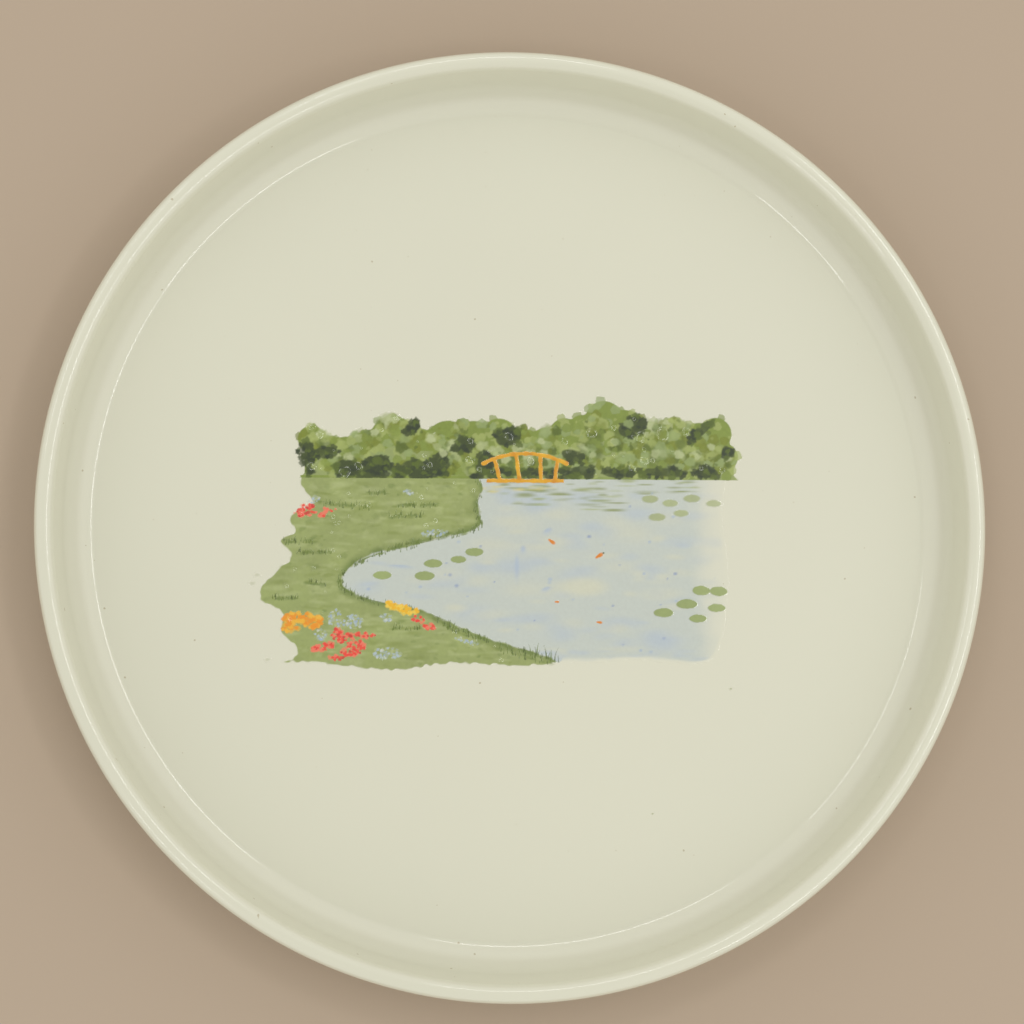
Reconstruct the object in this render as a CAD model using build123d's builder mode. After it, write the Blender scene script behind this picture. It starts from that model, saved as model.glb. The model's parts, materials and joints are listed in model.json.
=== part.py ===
from build123d import *
import os

# A flat-bottomed decorative plate with a fired-on enamel picture of a pond garden.
# Millimetres. The plate stands on its foot ring at z = 0, its axis is Z, and the top of
# the picture is towards +Y. The picture is generic: trees, a footbridge, a meadow, a pond.

# ---- Driving dimensions: the plate ----
outer_diameter = 210.0
overall_height = 20.5
dish_depth = 13.5               # from the lip's crest down to the flat well
floor_thickness = 4.6           # well to underside
crease_radius = 94.0            # where the flat well ends and the wall starts
crease_blend = 3.0
wall_start_angle = 20.0         # the wall leaves the well at this slope, in degrees
wall_end_angle = 78.0           # and is nearly upright at the lip
wall_curve_radius = 8.9
lip_inner_blend = 2.05
lip_outer_blend = 1.65
upright_outside = 6.0           # the outside is upright for this far below the lip
outer_wall_lean = 1.2           # and then draws in by this much towards the base
wall_bend_radius = 36.0
outer_wall_radius = 10.0
shoulder_height = 1.6           # where the outside wall would meet the underside's slope
underside_drop = 0.3            # the underside falls this much from the wall to the foot
foot_outer_radius = 80.5
foot_width = 3.2
foot_flare = 1.0                # the foot is this much wider where it joins the underside
foot_blend = 0.8

# ---- Driving dimensions: glaze and enamel ----
glaze_thickness = 0.3
bare_foot_height = 1.2          # the glaze is wiped off the foot ring up to here
wash_thickness = 0.10           # flat washes of enamel: pond, meadow, trees
dab_thickness = 0.22            # raised dabs of enamel, measured from the glaze
shadow_thickness = 0.16         # dark foliage over the trees, measured from the glaze

# ---- Derived heights and radii ----
outer_radius = outer_diameter / 2
well_height = overall_height - dish_depth
underside_height = well_height - floor_thickness

# ---- The picture's layout, from the picture's own middle, which is a little off the plate's axis ----
picture_middle = (-1.7, -1.3)
horizon = 11.5                  # where the trees meet the meadow and the pond
picture_right = 50.0
picture_bottom = -29.6

# Tree crowns: centre x, centre height above the horizon, radius.
tree_crowns = [
    (-44.0, 8.6, 4.0), (-40.5, 5.0, 5.4), (-36.2, 5.2, 5.0), (-30.5, 6.2, 5.6),
    (-25.6, 8.8, 6.2), (-19.8, 6.4, 5.8), (-13.2, 7.8, 6.2), (-7.4, 8.2, 5.8),
    (-1.6, 9.6, 5.0), (3.6, 6.8, 5.6), (9.4, 6.6, 6.0), (13.4, 10.2, 4.6),
    (17.6, 10.8, 4.8), (22.4, 13.4, 5.4), (27.2, 11.4, 5.4), (32.4, 8.0, 6.0),
    (38.4, 8.6, 5.8), (44.2, 8.0, 6.0), (48.0, 10.6, 4.6), (49.8, 5.2, 4.2),
]
tree_band_left = -46.4
tree_band_right = 53.0
tree_band_height = 8.6

# Dark foliage: x, height above the horizon, width, height, tilt in degrees.
dark_foliage = [
    (-45.0, 5.4, 4.2, 6.0, 10), (-40.6, 5.6, 6.0, 3.2, 0), (-36.0, 2.2, 7.0, 4.0, 0),
    (-29.2, 3.0, 6.6, 4.4, 0), (-21.4, 11.2, 5.0, 3.0, 35), (-20.4, 2.4, 8.0, 4.2, 0),
    (-14.8, 3.2, 4.4, 6.0, 0), (-9.6, 7.4, 5.4, 3.4, 20), (-4.6, 3.6, 4.2, 4.8, 0),
    (0.6, 9.4, 6.6, 4.8, 12), (15.2, 5.2, 5.6, 3.4, -12), (17.6, 1.9, 6.4, 3.2, 0),
    (26.0, 1.4, 8.0, 2.4, 0), (28.8, 12.0, 7.6, 4.4, 28), (35.6, 1.6, 12.0, 2.8, 0),
    (44.2, 10.8, 8.2, 2.6, 42), (45.6, 1.6, 6.4, 3.0, 0), (50.8, 6.4, 3.6, 3.4, 0),
]

# Footbridge: the arched rail, the flat deck line and the posts between them.
bridge_left = -5.2
bridge_right = 13.8
bridge_deck_drop = 0.5          # the deck line lies this far below the horizon
bridge_rise = 6.2
bridge_end_rise = 3.9
bridge_stroke = 0.75
bridge_posts = [(-2.6, -1.4), (2.3, 3.0), (7.6, 7.9), (11.6, 11.0)]     # x at the top, x at the deck

# The meadow's bank along the pond, its bottom edge and its ragged left edge.
meadow_top_left = (-46.0, horizon)
meadow_top_right = (-6.4, horizon)
bank_end = (11.8, -29.9)
meadow_bottom_left = (-51.0, -30.4)
bank_points = [
    (-5.4, 8.6), (-6.4, 5.4), (-5.6, 1.8), (-12.0, -1.6), (-23.6, -4.4), (-34.6, -8.3),
    (-36.8, -12.2), (-33.2, -14.9), (-19.7, -18.1), (-4.0, -24.7), (3.8, -26.9),
]
meadow_bottom_points = [(4.0, -30.9), (-8.0, -30.3), (-17.2, -30.8), (-25.2, -31.9), (-36.0, -30.9)]
meadow_left_points = [
    (-47.2, -26.4), (-50.4, -23.6), (-50.2, -19.2), (-55.1, -16.2), (-52.2, -10.2),
    (-48.8, -5.0), (-50.8, -2.9), (-47.8, -0.6), (-48.9, 2.0), (-43.8, 6.2), (-46.3, 9.4),
]

# Pond shore on the right and below, drawn with a slight waver.
pond_shore = [
    (50.2, horizon), (49.4, 2.0), (50.4, -9.0), (49.6, -22.0), (47.2, picture_bottom + 0.6),
    (34.0, picture_bottom), (22.0, picture_bottom - 0.2), (11.0, picture_bottom - 0.2),
]

# The pond is drawn this far in under the meadow, and then trimmed to the bank.
pond_under_meadow = [(-20.0, -26.0), (-42.0, -17.0), (-42.0, -7.0), (-12.0, horizon)]

# Lily pads: x, y, width. They are drawn in perspective, so each is less than half as tall.
lily_pads = [
    (32.8, 7.0, 4.2), (37.4, 6.1, 4.0), (42.4, 7.2, 4.3), (47.4, 6.1, 3.9), (34.4, 2.9, 4.3),
    (39.9, 3.8, 3.8), (-27.9, -10.5, 4.2), (-16.5, -7.8, 4.2), (-18.4, -10.6, 4.6),
    (-10.8, -6.9, 3.6), (-7.2, -5.2, 4.2), (35.8, -18.8, 4.6), (41.1, -16.8, 4.9),
    (44.7, -13.8, 4.9), (48.6, -14.1, 4.0), (47.9, -17.7, 4.2), (43.6, -20.1, 4.1),
]
pad_flatness = 0.46

# Raised dabs in patches: x, y, width, height, tilt.
red_patches = [
    (-46.4, 3.6, 2.6, 2.0, 0), (-44.8, 4.9, 3.2, 1.4, 12), (-43.0, 3.2, 4.4, 1.3, -4),
    (-39.9, 4.2, 3.4, 1.2, 6), (-41.0, -26.6, 5.6, 1.5, 14), (-36.6, -24.2, 5.4, 3.4, -18),
    (-34.4, -27.0, 5.6, 3.4, 26), (-31.6, -23.9, 4.6, 1.2, -4), (-38.2, -29.0, 3.6, 1.0, 0),
    (-19.8, -20.6, 3.0, 1.8, -20), (-17.2, -21.9, 3.4, 1.3, 0),
]
orange_patches = [(-47.6, -20.2, 5.2, 2.6, 4), (-43.6, -20.6, 4.6, 3.6, -6), (-48.4, -22.4, 3.8, 1.9, 0)]
yellow_patches = [(-25.6, -17.2, 3.0, 1.8, -14), (-22.8, -18.2, 3.4, 1.9, -18), (-20.6, -18.6, 2.0, 1.2, 0)]
pale_patches = [
    (-43.6, 6.4, 3.0, 1.6, 10), (-21.6, 8.2, 3.8, 1.1, -6), (-38.4, -20.2, 3.0, 4.4, 0),
    (-34.4, -21.0, 4.6, 3.2, 0), (-41.6, -23.9, 2.8, 2.4, 30), (-26.8, -28.0, 6.6, 2.4, 0),
    (-9.0, -25.4, 5.6, 1.3, -14), (-27.2, -20.0, 3.2, 1.8, -10), (-16.0, -1.0, 6.0, 1.6, 6),
]

# Grass: low dark patches that the blades rise from.
grass_patches = [
    (-36.6, 5.2, 11.6, 1.3, -6), (-29.4, 8.0, 4.6, 1.0, 0), (-20.4, 5.3, 9.6, 1.2, 2),
    (-22.6, 2.9, 8.0, 1.2, 2), (-46.6, -3.0, 7.0, 1.5, 0), (-43.2, -5.4, 8.4, 1.0, 2),
    (-31.2, -6.9, 7.2, 1.1, 22), (-23.0, -3.7, 8.6, 1.3, 14), (-13.6, -1.5, 8.4, 1.7, 10),
    (-49.6, -15.6, 6.0, 1.1, 0), (-42.6, -12.4, 4.6, 0.9, -8), (-22.4, -22.4, 6.6, 0.9, 0),
    (-13.4, -21.8, 6.6, 1.6, -24), (-6.8, -24.3, 6.4, 1.6, -18), (1.0, -27.6, 6.6, 2.4, -16),
    (6.6, -29.2, 7.4, 1.4, -12),
]

# Goldfish: x, y, length, tilt. Water marks: x, y, width, height, tilt. Specks: x, y, diameter.
goldfish = [(10.2, -2.7, 2.6, -35), (21.0, -6.0, 2.8, 32), (11.4, -16.4, 1.5, 0), (21.0, -21.0, 1.9, -8)]
fish_slimness = 0.42
water_marks = [
    (2.5, 9.0, 14.0, 0.9, 0), (13.0, 8.2, 12.0, 0.7, 1), (26.0, 8.9, 13.0, 0.8, -1),
    (40.0, 9.8, 13.0, 0.7, 0), (8.0, 6.6, 11.0, 0.8, 0), (22.0, 5.6, 9.0, 0.7, 0),
    (9.4, -0.2, 2.6, 1.1, 24), (3.8, -4.4, 1.3, 2.0, 0), (2.4, -8.4, 1.2, 6.4, 0),
    (9.0, -13.4, 2.8, 0.9, 18), (-24.0, -8.4, 7.0, 0.7, -4),
]
specks = [(51.0, -36.0, 1.0), (33.0, -64.0, 0.9), (-55.9, -10.5, 1.9), (-56.9, -12.4, 2.2), (-53.4, -29.4, 1.8)]
speck_flatness = 0.6


def glazed_section():
    """Half section of the finished plate, from the axis to the lip, drawn as x = radius, y = height."""
    foot_inner_radius = foot_outer_radius - foot_width
    wall_bend = (outer_radius, overall_height - upright_outside)
    outside_base = (outer_radius - outer_wall_lean, underside_height + shoulder_height)
    with BuildSketch() as section:
        with BuildLine():
            well = Line((0, well_height), (crease_radius, well_height))
            wall = JernArc(
                start=well @ 1,
                tangent=Vector(1, 0).rotate(Axis.Z, wall_start_angle),
                radius=wall_curve_radius,
                arc_size=wall_end_angle - wall_start_angle,
            )
            upright = PolarLine(
                start=wall @ 1,
                length=overall_height - (wall @ 1).Y,
                angle=wall_end_angle,
                length_mode=LengthMode.VERTICAL,
            )
            Polyline(
                upright @ 1,
                (outer_radius, overall_height),
                wall_bend,
                outside_base,
                (foot_outer_radius + foot_flare, underside_height - underside_drop),
                (foot_outer_radius, 0),
                (foot_inner_radius, 0),
                (foot_inner_radius - foot_flare, underside_height),
                (0, underside_height),
                (0, well_height),
            )
        make_face()
        foot_corners = section.vertices().filter_by(lambda v: v.Y < 0.1 and v.X > 0)
        fillet(foot_corners, foot_blend)
        for corner, radius in [
            (upright @ 1, lip_inner_blend),
            ((outer_radius, overall_height), lip_outer_blend),
            ((crease_radius, well_height), crease_blend),
            (wall_bend, wall_bend_radius),
            (outside_base, outer_wall_radius),
        ]:
            fillet(section.vertices().sort_by_distance(Vector(*corner))[0], radius)
    return section.sketch


def body_section():
    """The glazed section drawn in by the glaze, but reaching the foot ring's bare contact face."""
    with BuildSketch() as bare_foot:
        add(glazed_section())
        Rectangle(outer_radius, bare_foot_height, align=(Align.MIN, Align.MIN), mode=Mode.INTERSECT)
    with BuildSketch() as section:
        add(glazed_section())
        mirror(about=Plane.YZ)
        offset(amount=-glaze_thickness, kind=Kind.ARC)
        Rectangle(outer_radius, overall_height, align=(Align.MIN, Align.MIN), mode=Mode.INTERSECT)
        add(bare_foot.sketch)
    return section.sketch


def patch(x, y, width, height, tilt=0):
    """One elliptical dab of enamel, added to the sketch being drawn."""
    with Locations(Location((x, y, 0), (0, 0, tilt))):
        Ellipse(width / 2, height / 2)


def raise_enamel(top, under=()):
    """Thicken the sketch just drawn from the glaze up to its top, and clear it of what lies under."""
    extrude(amount=top)
    for layer in under:
        add(layer.part, mode=Mode.SUBTRACT)


with BuildPart() as plate_body:
    with BuildSketch(Plane.XZ):
        add(body_section())
    revolve(axis=Axis.Z)

with BuildPart() as glaze:
    with BuildSketch(Plane.XZ):
        add(glazed_section())
        add(body_section(), mode=Mode.SUBTRACT)
    revolve(axis=Axis.Z)
glaze_skins = glaze.solids().sort_by(SortBy.VOLUME)

with BuildPart() as underside_glaze:
    add(glaze_skins[0])

with BuildPart() as face_glaze:
    add(glaze_skins[-1])

# ---- Flat washes, side by side on the well ----
picture_plane = Plane((*picture_middle, well_height))

with BuildPart() as treeline_enamel:
    with BuildSketch(picture_plane):
        with Locations((tree_band_left, horizon)):
            Rectangle(
                tree_band_right - tree_band_left, tree_band_height, align=(Align.MIN, Align.MIN)
            )
        for x, rise, radius in tree_crowns:
            with Locations((x, horizon + rise)):
                Circle(radius)
        with Locations((0, horizon)):
            Rectangle(outer_diameter, outer_radius, align=(Align.CENTER, Align.MAX), mode=Mode.SUBTRACT)
    raise_enamel(wash_thickness)

with BuildPart() as meadow_enamel:
    with BuildSketch(picture_plane):
        with BuildLine():
            Line(meadow_top_left, meadow_top_right)
            Spline(meadow_top_right, *bank_points, bank_end)
            Spline(bank_end, *meadow_bottom_points, meadow_bottom_left)
            Spline(meadow_bottom_left, *meadow_left_points, meadow_top_left)
        make_face()
    raise_enamel(wash_thickness)

with BuildPart() as pond_enamel:
    with BuildSketch(picture_plane):
        with BuildLine():
            shore = Spline(*pond_shore)
            Polyline(shore @ 1, *pond_under_meadow, shore @ 0)
        make_face()
    raise_enamel(wash_thickness, under=[meadow_enamel])

washes = [treeline_enamel, meadow_enamel, pond_enamel]

# ---- Raised enamel, over the washes ----
with BuildPart() as dark_foliage_enamel:
    with BuildSketch(picture_plane):
        for x, rise, width, height, tilt in dark_foliage:
            patch(x, horizon + rise, width, height, tilt)
        with Locations((0, horizon)):
            Rectangle(outer_diameter, outer_radius, align=(Align.CENTER, Align.MAX), mode=Mode.SUBTRACT)
    raise_enamel(shadow_thickness, under=[treeline_enamel])

with BuildPart() as bridge_enamel:
    deck = horizon - bridge_deck_drop
    middle = (bridge_left + bridge_right) / 2
    with BuildSketch(picture_plane):
        with BuildLine():
            rail = ThreePointArc(
                (bridge_left, deck + bridge_end_rise),
                (middle, deck + bridge_rise),
                (bridge_right, deck + bridge_end_rise),
            )
            offset(amount=bridge_stroke / 2, side=Side.BOTH)
        make_face()
        with Locations((middle, deck)):
            Rectangle(bridge_right - bridge_left - 2 * bridge_stroke, bridge_stroke)
        for top_x, foot_x in bridge_posts:
            post_top = rail @ ((top_x - bridge_left) / (bridge_right - bridge_left))
            with BuildLine():
                Line((foot_x, deck), (post_top.X, post_top.Y))
                offset(amount=bridge_stroke / 2, side=Side.BOTH)
            make_face()
    raise_enamel(dab_thickness, under=[*washes, dark_foliage_enamel])

with BuildPart() as water_mark_enamel:
    with BuildSketch(picture_plane):
        for mark in water_marks:
            patch(*mark)
    raise_enamel(shadow_thickness, under=[*washes, bridge_enamel])

with BuildPart() as lily_pad_enamel:
    with BuildSketch(picture_plane):
        for x, y, width in lily_pads:
            patch(x, y, width, width * pad_flatness)
    raise_enamel(dab_thickness, under=[*washes, water_mark_enamel])

with BuildPart() as goldfish_enamel:
    with BuildSketch(picture_plane):
        for x, y, length, tilt in goldfish:
            patch(x, y, length, length * fish_slimness, tilt)
    raise_enamel(dab_thickness, under=[*washes, water_mark_enamel])

with BuildPart() as grass_enamel:
    with BuildSketch(picture_plane):
        for tuft in grass_patches:
            patch(*tuft)
    raise_enamel(shadow_thickness, under=[*washes, water_mark_enamel])

# Flowers are laid over the grass, each colour clear of the ones before it.
flower_layers = {}
for colour, patches in [
    ("pale", pale_patches),
    ("orange", orange_patches),
    ("yellow", yellow_patches),
    ("red", red_patches),
]:
    with BuildPart() as flower_enamel:
        with BuildSketch(picture_plane):
            for flower in patches:
                patch(*flower)
        raise_enamel(dab_thickness, under=[*washes, grass_enamel, *flower_layers.values()])
    flower_layers[colour] = flower_enamel

with BuildPart() as speck_enamel:
    with BuildSketch(picture_plane):
        for x, y, diameter in specks:
            patch(x, y, diameter, diameter * speck_flatness)
    raise_enamel(wash_thickness)

# ---- Labels and files ----
nodes = {
    "plate_body": plate_body,
    "face_glaze": face_glaze,
    "underside_glaze": underside_glaze,
    "treeline_enamel": treeline_enamel,
    "dark_foliage_enamel": dark_foliage_enamel,
    "meadow_enamel": meadow_enamel,
    "pond_enamel": pond_enamel,
    "bridge_enamel": bridge_enamel,
    "water_mark_enamel": water_mark_enamel,
    "lily_pad_enamel": lily_pad_enamel,
    "goldfish_enamel": goldfish_enamel,
    "grass_enamel": grass_enamel,
    "pale_flower_enamel": flower_layers["pale"],
    "orange_flower_enamel": flower_layers["orange"],
    "yellow_flower_enamel": flower_layers["yellow"],
    "red_flower_enamel": flower_layers["red"],
    "speck_enamel": speck_enamel,
}

os.makedirs("parts", exist_ok=True)
for name, node in nodes.items():
    node.part.label = name
    export_step(node.part, f"parts/{name}.step")
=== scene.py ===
"""The looks of the souvenir plate: its glaze, its bare foot ring and the enamel picture fired onto it."""
import bpy
import json
import math
import numpy as np
from mathutils import Matrix, Vector
from mathutils.bvhtree import BVHTree

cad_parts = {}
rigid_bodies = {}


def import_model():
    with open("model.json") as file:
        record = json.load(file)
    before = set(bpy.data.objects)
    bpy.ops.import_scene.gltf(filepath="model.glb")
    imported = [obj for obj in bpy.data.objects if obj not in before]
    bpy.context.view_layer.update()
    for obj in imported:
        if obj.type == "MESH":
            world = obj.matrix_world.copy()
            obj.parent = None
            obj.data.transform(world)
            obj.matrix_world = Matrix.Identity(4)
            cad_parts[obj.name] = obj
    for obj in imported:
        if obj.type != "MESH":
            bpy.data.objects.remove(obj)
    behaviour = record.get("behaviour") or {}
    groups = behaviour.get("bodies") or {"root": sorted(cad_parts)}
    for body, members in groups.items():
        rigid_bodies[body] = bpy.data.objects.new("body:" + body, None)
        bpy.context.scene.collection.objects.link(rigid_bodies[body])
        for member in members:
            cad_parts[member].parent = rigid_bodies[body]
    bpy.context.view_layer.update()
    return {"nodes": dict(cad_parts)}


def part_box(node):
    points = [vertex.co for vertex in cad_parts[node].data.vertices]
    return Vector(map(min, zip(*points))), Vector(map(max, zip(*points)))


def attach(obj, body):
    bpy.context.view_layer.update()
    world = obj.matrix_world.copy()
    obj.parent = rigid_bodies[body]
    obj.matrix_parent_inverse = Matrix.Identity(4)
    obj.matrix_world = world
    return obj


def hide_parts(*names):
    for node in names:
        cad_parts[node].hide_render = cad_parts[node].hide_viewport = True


for leftover in list(bpy.data.objects):
    bpy.data.objects.remove(leftover)

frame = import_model()

MM = 0.001
RIM_LOW, RIM_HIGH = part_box("face_glaze")
RIM_TOP = RIM_HIGH.z
OUTER_RADIUS = RIM_HIGH.x
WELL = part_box("pond_enamel")[0].z
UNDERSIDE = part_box("underside_glaze")[1].z

# The rest of the plate's section, in metres.
CREASE_RADIUS = 94.0 * MM
CREASE_BLEND = 3.0 * MM
WALL_CURVE_RADIUS = 8.9 * MM
WALL_START = math.radians(20)
WALL_END = math.radians(78)
LIP_INNER_BLEND = 2.05 * MM
LIP_OUTER_BLEND = 1.65 * MM
UPRIGHT_OUTSIDE = 6.0 * MM
OUTER_WALL_LEAN = 1.2 * MM
WALL_BEND_RADIUS = 36.0 * MM
OUTER_WALL_RADIUS = 10.0 * MM
SHOULDER_HEIGHT = 1.3 * MM
UNDERSIDE_DROP = 0.3 * MM
FOOT_OUTER_RADIUS = 80.5 * MM
FOOT_WIDTH = 3.2 * MM
FOOT_FLARE = 1.0 * MM
GLAZE_END = RIM_LOW.z
GLAZE_THICKNESS = 0.3 * MM
TURNS = 512                  # facets round the plate

# Enamel thicknesses, and how far the pieces of enamel reach down into the glaze.
FILM = 0.008 * MM
RAISED = 0.10 * MM
ROOTED = 0.03 * MM
CLEAR = 0.0015 * MM
SUNK = 0.002 * MM
BUBBLE_SLOPE = math.radians(14)    # how steep the lip of a burst bubble is

# A slight unevenness of the thrown wall, and where wet paint gathers in a dab, as parts of its radius.
UNEVENNESS = 0.05 * MM
DRIED_RIM = 0.86
DRIED_RIM_WIDTH = 0.10

LATTICE = 64                 # the smooth noise repeats after this many bumps
EVERYWHERE = (slice(None), slice(None))

# The strip lights: their tilt from straight up in degrees, and their distance and depth in metres.
STRIP_TILT = 27
STRIP_DISTANCE = 1.5
STRIP_DEPTH = 0.12

random = np.random.default_rng(7)


# ---- Colours ----
def linear(colour):
    """A picked sRGB colour, 0 to 1, as the linear colour that a shader takes."""
    return [c / 12.92 if c <= 0.04045 else ((c + 0.055) / 1.055) ** 2.4 for c in colour]


def paint(red, green, blue):
    """An sRGB colour, 0 to 255, as it should look in this light, less the sheen that the gloss adds."""
    sheen = 0.022
    return np.array([max(c - sheen, 0.002) / 0.93 for c in linear([red / 255, green / 255, blue / 255])])


IVORY = linear((0.885, 0.883, 0.803))
TREE_LIGHT = paint(162, 175, 102)
TREE_MID = paint(132, 149, 68)
TREE_PALE = paint(184, 194, 144)
TREE_SAGE = paint(148, 165, 106)
TREE_OLIVE = paint(124, 135, 50)
TREE_DEEP = paint(90, 106, 42)
DARK = paint(68, 80, 32)
DARKER = paint(52, 63, 24)
GRASS = paint(154, 166, 104)
GRASS_LIGHT = paint(174, 184, 128)
GRASS_OLIVE = paint(136, 149, 80)
GRASS_DEEP = paint(112, 130, 68)
BLADE = paint(104, 122, 52)
BLADE_DARK = paint(78, 94, 44)
WATER = paint(198, 205, 197)
WATER_BLUE = paint(184, 196, 206)
WATER_DEEP = paint(160, 180, 208)
WATER_CREAM = paint(211, 212, 190)
WATER_GREEN = paint(140, 150, 92)
INK_BLUE = paint(112, 136, 190)
OCHRE = paint(224, 164, 18)
OCHRE_LIGHT = paint(238, 190, 52)
OCHRE_DARK = paint(200, 128, 12)
PAD = paint(153, 168, 104)
PAD_SOFT = paint(168, 178, 124)
FISH = paint(222, 132, 24)
SALMON = paint(240, 124, 100)
CORAL = paint(236, 74, 62)
CORAL_DARK = paint(205, 62, 58)
ORANGE = paint(236, 150, 22)
ORANGE_LIGHT = paint(238, 182, 62)
YELLOW = paint(238, 184, 44)
YELLOW_LIGHT = paint(242, 206, 84)
PALE_BLUE = paint(178, 194, 204)
PALE_WHITE = paint(206, 212, 204)
BRIDGE_REFLECTION = paint(216, 204, 128)

# The larger burst bubbles: place across and up the treeline's box, as parts of its size, and radius in mm.
LARGE_BUBBLES = [
    (0.82, 0.55, 1.30), (0.77, 0.51, 1.00), (0.873, 0.58, 0.72), (0.778, 0.36, 0.40), (0.778, 0.22, 0.75),
    (0.66, 0.55, 0.95), (0.71, 0.62, 0.45), (0.60, 0.45, 0.55), (0.475, 0.50, 0.80), (0.39, 0.44, 0.50),
    (0.038, 0.60, 0.75), (0.057, 0.50, 0.60), (0.04, 0.12, 0.80), (0.113, 0.06, 1.05), (0.143, 0.13, 0.70),
    (0.387, 0.21, 0.65), (0.41, 0.10, 0.45), (0.233, 0.72, 0.50), (0.525, 0.21, 0.60), (0.75, 0.13, 0.60),
    (0.953, 0.11, 0.50), (0.30, 0.15, 0.50),
]


# ---- Smooth random variation, and soft edges ----
def ramp(value):
    """A soft step from 0 to 1."""
    value = np.clip(value, 0, 1)
    return value * value * (3 - 2 * value)


def noise(x, y, scale, seed):
    """Smooth random values from -1 to 1, in bumps about as large as scale."""
    lattice = np.random.default_rng(seed).uniform(-1, 1, (LATTICE, LATTICE))
    u, v = x / scale, y / scale
    column, row = np.floor(u).astype(int), np.floor(v).astype(int)
    s, t = ramp(u - column), ramp(v - row)
    left, right = column % LATTICE, (column + 1) % LATTICE
    low, high = row % LATTICE, (row + 1) % LATTICE
    below = lattice[low, left] * (1 - s) + lattice[low, right] * s
    above = lattice[high, left] * (1 - s) + lattice[high, right] * s
    return below * (1 - t) + above * t


# ---- Where the CAD wash or dab lies ----
def over_grid(measure, x, y):
    """A measure of one point, taken at every point of a grid."""
    return np.array([measure(*point) for point in zip(x.ravel(), y.ravel())]).reshape(x.shape)


class Region:
    """The plan shape of a CAD enamel node."""

    def __init__(self, node):
        self.low, self.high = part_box(node)
        mesh = frame["nodes"][node].data
        points = [v.co.copy() for v in mesh.vertices]
        faces = [list(p.vertices) for p in mesh.polygons]
        sides = [list(p.vertices) for p in mesh.polygons if abs(p.normal.z) < 0.5]
        self.solid = BVHTree.FromPolygons(points, faces)
        self.outline = BVHTree.FromPolygons(points, sides)
        self.middle = (self.low.z + self.high.z) / 2

    def holds(self, x, y):
        above = Vector((x, y, self.high.z + 10 * MM))
        return self.solid.ray_cast(above, Vector((0, 0, -1)))[0] is not None

    def edge_distance(self, x, y):
        """How far a point lies from the outline, on either side of it."""
        return self.outline.find_nearest(Vector((x, y, self.middle)))[3]

    def depth(self, x, y):
        """How far a point lies inside the outline. It is negative outside."""
        away = self.edge_distance(x, y)
        return away if self.holds(x, y) else -away

    def depths(self, x, y):
        return over_grid(self.depth, x, y)

    def scatter(self, count, inset=0.0):
        """Random points inside the outline, at least inset away from it."""
        points = []
        while len(points) < count:
            x = random.uniform(self.low.x, self.high.x)
            y = random.uniform(self.low.y, self.high.y)
            if self.holds(x, y) and (not inset or self.depth(x, y) > inset):
                points.append((x, y))
        return points


def islands(node):
    """Each separate dab of a CAD node: its centre, length, width and tilt, largest axis first."""
    mesh = frame["nodes"][node].data
    keys = [(round(v.co.x / MM, 3), round(v.co.y / MM, 3)) for v in mesh.vertices]
    leader = {key: key for key in keys}

    def find(key):
        while leader[key] != key:
            key = leader[key]
        return key

    for face in mesh.polygons:
        first = find(keys[face.vertices[0]])
        for vertex in face.vertices[1:]:
            leader[find(keys[vertex])] = first
    groups = {}
    for key in sorted(leader):
        groups.setdefault(find(key), []).append(key)
    found = []
    for group in groups.values():
        points = np.array(group) * MM
        centre = (points.min(0) + points.max(0)) / 2
        axes = np.linalg.eigh(np.cov((points - centre).T))[1]
        along, across = axes[:, 1], axes[:, 0]
        along = along if along[0] >= 0 else -along
        length, width = np.ptp(points @ along), np.ptp(points @ across)
        found.append((centre[0], centre[1], length, width, math.atan2(along[1], along[0])))
    return found


# ---- Pieces ----
def add_piece(name, mesh, replaces=()):
    """Put a mesh on the plate, and hide the CAD nodes that it stands for."""
    piece = bpy.data.objects.new(name, mesh)
    bpy.context.scene.collection.objects.link(piece)
    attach(piece, "root")
    if replaces:
        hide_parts(*replaces)


def paint_mesh(mesh, rgba):
    """Give a mesh its enamel: each point's colour, with its cover as the alpha."""
    attribute = mesh.color_attributes.new("paint", "FLOAT_COLOR", "POINT")
    attribute.data.foreach_set("color", rgba.ravel())
    mesh.materials.append(enamel)


# ---- Painted enamel ----
layers = []


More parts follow.
